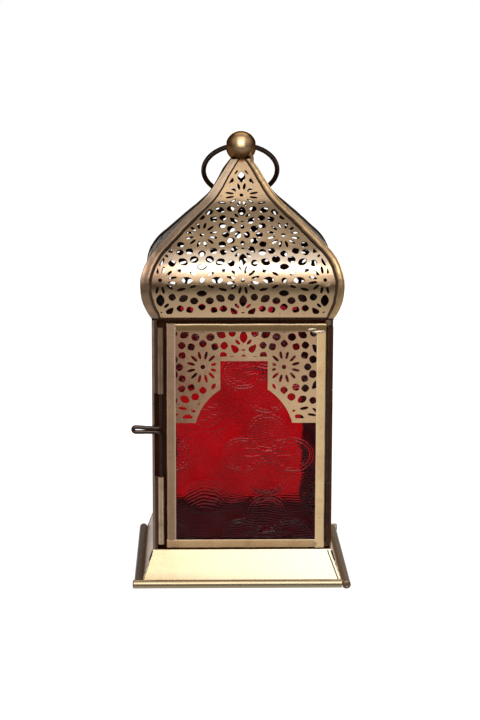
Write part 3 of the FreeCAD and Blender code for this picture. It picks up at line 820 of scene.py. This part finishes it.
glaze("door_glass_pressed", "door", "door_glass", 0, -35.7, 39.2, 20.35, 131.65, 12.4, 66.3, 0.0)
for side, deg, ox in (("right", 90, 5.0), ("back", 180, -9.0), ("left", 270, 14.0)):
    glaze(side + "_glass_pressed", "lantern", side + "_glass", deg, -37.1, 37.1, 20.35, 132.6, ox, 61.0, 0.5)

# ------------------------------------------------------------------ came strips
LIP, SLOT, DEPTH, FACE = 0.55, 2.8, 3.6, -44.7


def came_section(W):
    """Folded channel, closed edge at 0, open edge at W; (across, depth, how far it may waver, edge), the edge column
    being how much painted highlight the point takes.
    """
    p = [(W, LIP, 0, 0.5), (W, 0.34, 1, 1.0), (W - 0.07, 0.18, 1, 1.0), (W - 0.22, 0.09, 1, 1.0), (W - 0.45, 0.075, 1, 0.7)]
    for q in np.linspace(W - 0.9, 0.95, 7):
        p.append((q, 0.02 + 0.06 * ((q - W / 2) / (W / 2)) ** 2, 1, 0.25 * (abs(q - W / 2) / (W / 2)) ** 4))
    for a in (20, 40, 60, 80):
        a = math.radians(a)
        p.append((0.72 - 0.72 * math.sin(a), 0.06 + 0.72 * (1 - math.cos(a)), 1, 1.0))
    p += [(0, 1.0, 0.6, 0.6), (0, DEPTH - 0.35, 0, 0.2), (0.12, DEPTH - 0.1, 0, 0.2), (0.35, DEPTH, 0, 0.2),
          (W, DEPTH, 0, 0.2), (W, DEPTH - LIP, 0, 0.2), (W - SLOT, DEPTH - LIP, 0, 0), (W - SLOT, LIP, 0, 0)]
    return np.array(p)


def came_strip(x0, x1, z0, z1, opens, seed):
    upright = opens in ("+x", "-x")
    W, L = (x1 - x0, z1 - z0) if upright else (z1 - z0, x1 - x0)
    sec = came_section(W)
    n = int(L / 1.6) + 2
    s = np.linspace(0, L, n)
    hold = np.clip(np.minimum(s, L - s) / 3.0, 0, 1)
    face = (0.055 * smooth_noise(s / 31.0, seed) + 0.022 * smooth_noise(s / 9.0, seed + 1)) * hold
    sway = (0.09 * smooth_noise(s / 27.0, seed + 2) + 0.04 * smooth_noise(s / 7.0, seed + 3)) * hold
    twist = 0.10 * smooth_noise(s / 45.0, seed + 4) * hold
    rows = []
    for k in range(n):
        a = sec[:, 0] + sway[k] * sec[:, 2] * np.where(sec[:, 0] > W / 2, 0.6, 1.0)
        y = FACE + sec[:, 1] + (face[k] + twist[k] * (sec[:, 0] / W - 0.5)) * (sec[:, 2] > 0.5) * (sec[:, 1] < 0.5)
        y = np.maximum(y, FACE - 0.12)
        if opens == "+x":
            pts = np.stack([x0 + a, y, np.full_like(a, z0 + s[k])], 1)
        elif opens == "-x":
            pts = np.stack([x1 - a, y, np.full_like(a, z0 + s[k])], 1)
        elif opens == "+z":
            pts = np.stack([np.full_like(a, x0 + s[k]), y, z0 + a], 1)
        else:
            pts = np.stack([np.full_like(a, x0 + s[k]), y, z1 - a], 1)
        rows.append(pts)
    nv = len(sec)
    v = np.array(rows).reshape(-1, 3)
    f = grid_faces(n, nv, close_v=True)
    f.append(tuple(range(nv)))
    f.append(tuple((n - 1) * nv + j for j in range(nv))[::-1])
    inner = {i * nv + j for i in range(n - 1) for j in range(nv - 6, nv)}
    return v, outward(v, f), np.tile(sec[:, 3], n), inner


def frame_of(side, body, deg, x0, x1, z0, z1, stile, rail, names, mats, seed, low=None):
    low = rail if low is None else low
    sizes = ((x0, x0 + stile, z0 + low, z1, "+x"), (x1 - stile, x1, z0, z1 - rail, "-x"),
             (x0 + stile, x1, z1 - rail, z1, "-z"), (x0, x1 - stile, z0, z0 + low, "+z"))
    for k, (size, node, mat) in enumerate(zip(sizes, names, mats)):
        v, f, edge, back = came_strip(*size, seed + 6 * k)
        ob = mesh_object("%s_%s_came" % (side, node), turn(v, deg), f, sharp=42)
        # the edge attribute carries the painted edge highlight
        attribute(ob, "edge", edge)
        place(ob, body, mat, ["%s_%s" % (side, node)], inner=(M_BACK, back))


frame_of("door", "door", 0, -37.9, 41.4, 18.6, 133.4, 4.7, 4.25, ("latch_stile", "hinge_stile", "top_rail", "bottom_rail"),
         (M_CAME_L, M_CAME_R, M_CAME_T, M_CAME_B), 40)
for k, (side, deg, ends) in enumerate((("right", 90, ("front", "back")), ("back", 180, ("right", "left")), ("left", 270, ("back", "front")))):
    rails = M_CAME_X if side == "back" else M_CAME_Y
    frame_of(side, "lantern", deg, -39.6, 39.6, 17.85, 135.1, 5.0, 5.0,
             ("stile_" + ends[0], "stile_" + ends[1], "top_rail", "bottom_rail"), (M_CAME_Z, M_CAME_Z, rails, rails), 80 + 30 * k,
             low=3.6 if side == "back" else None)

# ------------------------------------------------------------------ base corners, hem ends, solder
BE = np.array([5.7577, -16.330]) / math.hypot(5.7577, 16.330)
BN = np.array([-BE[1], BE[0]])


def skirt_pt(across, w, off):
    """Front base panel: across is measured from its right edge inward, w down the slope, off outward."""
    d, z = np.array([45.0, 17.85]) + w * BE + off * BN
    return (45.0 + w * BE[0] - across, -d, z)


def ribbon(section, w0, w1, seed, n=26, narrow=0.0):
    """A strip down the panel's right edge; section is (across, off) round it."""
    ws = np.linspace(w0, w1, n)
    j = 0.10 * smooth_noise(ws / 6.0, seed)
    rows = [[skirt_pt(a + (j[k] if a > 0.6 else 0) - narrow * (ws[k] - w0) / (w1 - w0) * (a > 0.6), ws[k], o) for a, o in section] for k in range(n)]
    nv = len(section)
    v = np.array(rows).reshape(-1, 3)
    f = grid_faces(n, nv, close_v=True) + [tuple(range(nv)), tuple((n - 1) * nv + i for i in range(nv))[::-1]]
    return v, outward(v, f), nv, n


LAP = [(2.40, 0.01), (1.95, 0.24), (1.72, 0.30), (1.2, 0.33), (0.78, 0.31), (0.62, 0.26), (0.15, 0.02)]
for k, (side, deg) in enumerate((("front", 0), ("right", 90), ("back", 180), ("left", 270))):
    v, f, nv, n = ribbon(LAP, 0.5, 15.2, 300 + k, narrow=0.4)
    # the lap strip's two edge faces take painted shade
    dark = {i * nv + j for i in range(n - 1) for j in (0, nv - 2)}
    mat = {"right": M_SIDE_R, "left": M_SIDE}.get(side, M_BASE)
    place(mesh_object("base_lap_" + side, turn(v, deg), f, sharp=50), "lantern", mat, inner=(M_LINE, dark))


def bead(path, radius, seed, sides=10):
    """A run of solder: a tube along path with an uneven radius, tapering at both ends."""
    path = np.asarray(path, float)
    n = len(path)
    s = np.concatenate([[0], np.cumsum(np.linalg.norm(np.diff(path, axis=0), axis=1))])
    ends = np.sqrt(np.clip(np.minimum(s, s[-1] - s) / 1.2, 0.02, 1))
    r = radius * (1 + 0.38 * smooth_noise(s / 4.0, seed) + 0.15 * smooth_noise(s / 1.6, seed + 1)) * ends
    rows = []
    for k in range(n):
        t = path[min(k + 1, n - 1)] - path[max(k - 1, 0)]
        t = t / np.linalg.norm(t)
        a = np.cross(t, (0.3, 0.2, 0.9))
        a /= np.linalg.norm(a)
        b = np.cross(t, a)
        rows.append([path[k] + r[k] * (math.cos(q) * a + math.sin(q) * b) for q in np.linspace(0, 2 * math.pi, sides, endpoint=False)])
    v = np.array(rows).reshape(-1, 3)
    f = grid_faces(n, sides, close_v=True) + [tuple(range(sides)), tuple((n - 1) * sides + i for i in range(sides))[::-1]]
    return v, outward(v, f)


# solder along the lower part of each base corner
for k, (side, deg) in enumerate((("front_right", 0), ("back_right", 90), ("back_left", 180), ("front_left", 270))):
    ws = np.linspace(5.2, 15.3, 26)
    path = [(45.0 + w * BE[0] - 0.12, -(45.0 + w * BE[0] - 0.12), 17.85 + w * BE[1]) for w in ws]
    v, f = bead(path, 0.42, 340 + 3 * k)
    place(mesh_object("base_solder_" + side, turn(v, deg), f, sharp=60), "lantern", M_SOLDER)


# above the solder the corner is an open joint; a dark bead in it is painted shade
for k, (side, deg) in enumerate((("front_right", 0), ("back_right", 90), ("back_left", 180), ("front_left", 270))):
    path = [(45.0 + w * BE[0] - 0.16, -(45.0 + w * BE[0] - 0.16), 17.85 + w * BE[1]) for w in np.linspace(0.35, 6.2, 18)]
    v, f = bead(path, 0.40, 360 + 3 * k)
    place(mesh_object("base_joint_" + side, turn(v, deg), f, sharp=60), "lantern", M_LINE)


def lathe(profile, sides=28):
    """Profile of (radius, height) turned round +Z, first and last points on the axis."""
    v = [(0, 0, profile[0][1])]
    for r, h in profile[1:-1]:
        v += [(r * math.cos(a), r * math.sin(a), h) for a in np.linspace(0, 2 * math.pi, sides, endpoint=False)]
    v.append((0, 0, profile[-1][1]))
    m = len(profile) - 2
    f = [(0, 1 + i, 1 + (i + 1) % sides) for i in range(sides)]
    for j in range(m - 1):
        for i in range(sides):
            a, b = 1 + j * sides + i, 1 + j * sides + (i + 1) % sides
            f.append((a, a + sides, b + sides, b))
    last = len(v) - 1
    f += [(last, 1 + (m - 1) * sides + (i + 1) % sides, 1 + (m - 1) * sides + i) for i in range(sides)]
    return np.array(v), outward(v, f)


# the free end of each hem is closed over, with a small dimple left in the middle
DOME = [(0, -1.2), (1.5, -1.2), (1.5, 0.01), (2.17, 0.01), (2.16, 0.16), (2.02, 0.38), (1.72, 0.56), (1.30, 0.64), (0.9, 0.60), (0.62, 0.42),
        (0.5, 0.12), (0, 0.05)]
ev, ef = lathe(DOME)
for side, deg in (("front", 0), ("right", 90), ("back", 180), ("left", 270)):
    v = np.stack([-54.47 - ev[:, 2], -52.27 + ev[:, 0], np.maximum(2.05 + ev[:, 1], 0.02)], 1)
    place(mesh_object("hem_end_" + side, turn(v, deg), outward(v, ef), sharp=50), "lantern", M_SEAM_L)


def blob(cx, cz, y, w, h, high, seed, lean=0.0):
    """Solder spread on the front of a frame: a low uneven mound on the plane at y."""
    na, nr = 30, 7
    v, f = [(cx, y - high * 0.9, cz)], []
    a = np.linspace(0, 2 * np.pi, na, endpoint=False)
    edge = 1 + 0.22 * smooth_noise(a / 2.1, seed) + 0.10 * smooth_noise(a / 0.8, seed + 1)
    for k in range(1, nr + 1):
        q = k / nr
        top = high * (1 - q ** 2.2) * (1 + 0.35 * smooth_noise(a / 1.3 + q, seed + 2))
        ca, sa = np.cos(a) * w / 2 * edge * q, np.sin(a) * h / 2 * edge * q
        for i in range(na):
            v.append((cx + ca[i] - lean * sa[i], y - max(top[i], 0.0), cz + sa[i] + lean * ca[i]))
    f += [(0, 1 + i, 1 + (i + 1) % na) for i in range(na)]
    for k in range(nr - 1):
        for i in range(na):
            p, q = 1 + k * na + i, 1 + k * na + (i + 1) % na
            f.append((p, p + na, q + na, q))
    base = 1 + (nr - 1) * na
    v.append((cx, y + 0.15, cz))
    f += [(len(v) - 1, base + (i + 1) % na, base + i) for i in range(na)]
    return np.array(v), outward(v, f)


SPOTS = (("top_right", 37.9, 129.1, -44.62, 6.6, 1.5, 0.32, 0.05), ("top_right_b", 34.5, 130.4, -44.60, 6.0, 1.1, 0.20, 0.08),
         ("top_left", -33.3, 130.2, -44.60, 1.0, 2.0, 0.12, 0.1), ("bottom_left", -35.4, 22.6, -44.60, 2.2, 0.8, 0.12, 0.0),
         ("bottom_right", 37.0, 20.6, -44.60, 1.2, 2.6, 0.20, 0.1))
for k, (name, cx, cz, y, w, h, high, lean) in enumerate(SPOTS):
    v, f = blob(cx, cz, y, w, h, high, 400 + 5 * k, lean)
    place(mesh_object("door_solder_" + name, v, f, sharp=60), "door", M_SOLDER)

# latch wire: a hairpin whose legs lie together behind a small eye at the tip
LATCH_AT, LATCH_TILT = np.array([-40.7, -46.1, 79.9]), math.radians(4.0)


def hairpin_half(sign):
    """From the free end in its tube to the tip: (how far out, height, radius)."""
    h0, h1, turn_r, tip = 1.01, 1.24, 1.9, 12.5
    z_turn = sign * (h0 + turn_r)
    pts = [(0.0, z, 0.9) for z in np.linspace((22.0 if sign < 0 else 130.9) - 79.9, z_turn, 14)]
    for q in np.linspace(0, math.pi / 2, 9)[1:]:
        pts.append((turn_r * (1 - math.cos(q)), z_turn - sign * turn_r * math.sin(q), 0.9 + 0.2 * q / math.pi))
    for o in np.linspace(turn_r, tip, 14)[1:]:
        t = min(max((o - 6.8) / 4.2, 0.0), 1.0)
        pts.append((o, sign * (h0 + (h1 - h0) * t * t * (3 - 2 * t)), 1.0))
    for q in np.linspace(0, math.pi / 2, 8)[1:]:
        pts.append((tip + h1 * math.sin(q), sign * h1 * math.cos(q), 1.0))
    return pts


wire = np.array(hairpin_half(-1) + hairpin_half(1)[-2::-1])
out = np.array([-math.cos(LATCH_TILT), -math.sin(LATCH_TILT), 0.0])
across = np.cross(out, (0.0, 0.0, 1.0))
rise = wire[:, 1] + (0.05 * wire[:, 0] - 0.12) * np.clip(wire[:, 0] / 2.5, 0, 1)
line = LATCH_AT + wire[:, :1] * out + rise[:, None] * np.array([0.0, 0.0, 1.0])
run = np.concatenate([[0], np.cumsum(np.linalg.norm(np.diff(line, axis=0), axis=1))])
fat = wire[:, 2] * (1 + 0.015 * smooth_noise(run / 6.0, 777))
rows = []
for k in range(len(line)):
    t = line[min(k + 1, len(line) - 1)] - line[max(k - 1, 0)]
    side_way = np.cross(t / np.linalg.norm(t), across)
    rows.append([line[k] + fat[k] * (math.cos(q) * across + math.sin(q) * side_way) for q in np.linspace(0, 2 * math.pi, 18, endpoint=False)])
v = np.array(rows).reshape(-1, 3)
f = grid_faces(len(line), 18, close_v=True) + [tuple(range(18)), tuple((len(line) - 1) * 18 + i for i in range(18))[::-1]]
place(mesh_object("latch_hairpin", v, outward(v, f), sharp=60), "latch", M_WIRE, ["latch_wire"])

# a tag of the corner strip left standing beside the ball
tag = np.array([(4.2, -4.9, 206.6), (4.9, -5.6, 208.4), (5.5, -6.3, 210.2), (5.6, -6.7, 211.9), (5.2, -6.9, 213.4), (4.4, -7.0, 214.7)])
half = np.array([0.75, 0.85, 0.9, 0.8, 0.6, 0.22])
rows = []
for k, (c, q) in enumerate(zip(tag, half)):
    t = tag[min(k + 1, 5)] - tag[max(k - 1, 0)]
    n = np.cross(t, (1.0, 0.35, 0.0))
    n = n / np.linalg.norm(n) * 0.22
    if n[1] > 0:
        n = -n
    a = np.array([1.0, 0.35, 0.15]) * q
    rows.append([c - a, c - a * 0.5 + n * 1.3, c + a * 0.5 + n * 1.3, c + a, c + a * 0.5 - n * 0.4, c - a * 0.5 - n * 0.4])
v = np.array(rows).reshape(-1, 3)
f = grid_faces(6, 6, close_v=True) + [tuple(range(6)), tuple(30 + i for i in range(6))[::-1]]
place(mesh_object("seam_tag", v, outward(v, f), sharp=60), "lantern", M_SEAM_R)

# ------------------------------------------------------------------ finish of the CAD pieces


def dress(name, mat):
    ob = NODES[name]
    ob.data.materials.clear()
    ob.data.materials.append(mat)
    ob.data.polygons.foreach_set("use_smooth", [True] * len(ob.data.polygons))
    ob.data.set_sharp_from_angle(angle=math.radians(32))


for n in NODES:
    if n == "post_front_left":
        dress(n, M_POST_L)
    elif n.startswith("post_") or n == "door_knuckle":
        dress(n, M_POST)
    elif n == "eave_frame":
        dress(n, M_EAVE)
    elif n in ("base_skirt_front", "base_skirt_back"):
        dress(n, M_BASE)
    elif n in ("base_skirt_left", "base_skirt_right"):
        dress(n, M_SIDE if n.endswith("left") else M_SIDE_R)
    elif n == "finial_ball":
        dress(n, M_BALL)
    elif n in ("hanging_ring", "latch_wire", "hinge_pin"):
        dress(n, M_WIRE)
    elif n == "apex_cap":
        dress(n, M_SEAM_L)
    elif n == "floor_plate":
        dress(n, M_FLOOR)
    elif n in ("header_strip", "latch_stop", "sill_strip"):
        dress(n, M_STOP)

# ------------------------------------------------------------------ stage, light, camera
fl = bpy.data.meshes.new("floor")
fl.from_pydata([(-60, -60, 0), (60, -60, 0), (60, 60, 0), (-60, 60, 0)], [], [(0, 1, 2, 3)])
floor = bpy.data.objects.new("floor", fl)
bpy.context.scene.collection.objects.link(floor)
fm = Mat("pale_floor")
fm.set(Base_Color=(0.5, 0.5, 0.5), Roughness=0.9, Emission_Color=(1, 1, 1), Emission_Strength=0.86)
fm.b.inputs["Specular IOR Level"].default_value = 0.0
fl.materials.append(fm.m)
floor.visible_glossy = False


def softbox(name, azimuth, elevation, dist, size, radiance, tint=(1, 1, 1)):
    """A square soft light round the object; azimuth 0 is the door's side, 90 its right."""
    a, e = math.radians(azimuth), math.radians(elevation)
    at = Vector((math.sin(a) * math.cos(e), -math.cos(a) * math.cos(e), math.sin(e))) * dist + Vector((0, 0, 0.1))
    d = bpy.data.lights.new(name, "AREA")
    d.shape, d.size, d.size_y = "RECTANGLE", size[0], size[1]
    d.energy, d.color = radiance * math.pi * size[0] * size[1], tint
    o = bpy.data.objects.new(name, d)
    bpy.context.scene.collection.objects.link(o)
    o.location = at
    o.rotation_mode = "QUATERNION"
    o.rotation_quaternion = (Vector((0, 0, 0.1)) - at).to_track_quat("-Z", "Y")
    o.visible_camera = False
    return o


softbox("key_front", -1, 36, 1.9, (1.2, 0.74), 3.9)
softbox("key_low", -1, 15.5, 1.9, (1.8, 0.68), 1.35)
softbox("key_high", 2, 64, 1.9, (1.7, 1.34), 1.05)
softbox("rim_back", 176, 56, 1.9, (1.7, 1.1), 1.2)

world = bpy.data.worlds.new("studio")
bpy.context.scene.world = world
world.use_nodes = True
wt = world.node_tree
wt.nodes.clear()


def wnode(kind, *links):
    n = wt.nodes.new("ShaderNode" + kind)
    for sock, v in links:
        if isinstance(v, bpy.types.NodeSocket):
            wt.links.new(v, n.inputs[sock])
        else:
            n.inputs[sock].default_value = v
    return n


def wramp(value, stops):
    n = wnode("ValToRGB", (0, value))
    e = n.color_ramp.elements
    while len(e) < len(stops):
        e.new(0.5)
    for el, (pos, g) in zip(e, stops):
        el.position = pos
        el.color = (g, g, g, 1)
    return n.outputs[0]


w_dir = wnode("SeparateXYZ", (0, wnode("TexCoord").outputs["Generated"]))
w_z = wnode("MapRange", ("Value", w_dir.outputs[2]), ("From Min", -1.0))
w_f = wnode("MapRange", ("Value", w_dir.outputs[1]), ("From Min", -0.72), ("From Max", -0.93))
w_y = wnode("MapRange", ("Value", w_dir.outputs[1]), ("From Min", 0.1), ("From Max", 0.7))


def wmix(fac, a, b, how="MIX"):
    n = wnode("Mix")
    n.data_type, n.blend_type = "RGBA", how
    for k, v in ((0, fac), (6, a), (7, b)):
        if isinstance(v, bpy.types.NodeSocket):
            wt.links.new(v, n.inputs[k])
        else:
            n.inputs[k].default_value = v
    return n.outputs[2]


# a dim room over a pale table: dark towards the horizon in front, lighter to the sides and behind
ahead = wramp(w_z.outputs[0], [(0, 0.90), (0.15, 0.65), (0.25, 0.58), (0.33, 0.40), (0.38, 0.12), (0.43, 0.03), (0.49, 0.06),
                               (0.58, 0.30), (0.66, 0.30), (0.85, 0.24), (1, 0.22)])
lateral = wramp(w_z.outputs[0], [(0, 0.80), (0.2, 0.50), (0.43, 0.46), (0.49, 0.20), (0.57, 0.16), (0.67, 0.30), (0.79, 0.48), (0.9, 0.40), (1, 0.28)])
behind = wramp(w_z.outputs[0], [(0, 0.80), (0.25, 0.68), (0.445, 0.70), (0.49, 0.20), (0.6, 0.14), (0.8, 0.17), (1, 0.22)])
sky = wmix(w_y.outputs[0], wmix(w_f.outputs[0], lateral, ahead), behind)
w_lp = wnode("LightPath")
w_max = wnode("Math", (0, w_lp.outputs["Is Camera Ray"]), (1, w_lp.outputs["Is Transmission Ray"]))
w_max.operation = "MAXIMUM"
w_mix = wnode("Mix")
w_mix.data_type = "RGBA"
wt.links.new(w_max.outputs[0], w_mix.inputs[0])
wt.links.new(sky, w_mix.inputs[6])
w_mix.inputs[7].default_value = (1, 1, 1, 1)
w_bg = wnode("Background", (0, w_mix.outputs[2]))
wt.links.new(w_bg.outputs[0], wt.nodes.new("ShaderNodeOutputWorld").inputs[0])

AZ, EL, ROLL, DIST = math.radians(-1.35), math.radians(10.59), math.radians(0.14), 1.007
back = Vector((math.sin(AZ) * math.cos(EL), -math.cos(AZ) * math.cos(EL), math.sin(EL)))
aim = Vector((-0.00024 * math.cos(AZ), -0.00024 * math.sin(AZ), 0.1067))
cd = bpy.data.cameras.new("camera")
cd.lens, cd.sensor_width, cd.sensor_fit = 96.95, 36.0, "AUTO"
cam = bpy.data.objects.new("camera", cd)
bpy.context.scene.collection.objects.link(cam)
right = (-back).cross(Vector((0, 0, 1))).normalized()
up = right.cross(-back)
rx = math.cos(ROLL) * right + math.sin(ROLL) * up
ry = -math.sin(ROLL) * right + math.cos(ROLL) * up
cam.matrix_world = Matrix((
    (rx.x, ry.x, back.x, aim.x + back.x * DIST),
    (rx.y, ry.y, back.y, aim.y + back.y * DIST),
    (rx.z, ry.z, back.z, aim.z + back.z * DIST),
    (0, 0, 0, 1)))
bpy.context.scene.camera = cam
vs = bpy.context.scene.view_settings
vs.view_transform, vs.look, vs.exposure, vs.gamma = "Standard", "None", 0.0, 1.0
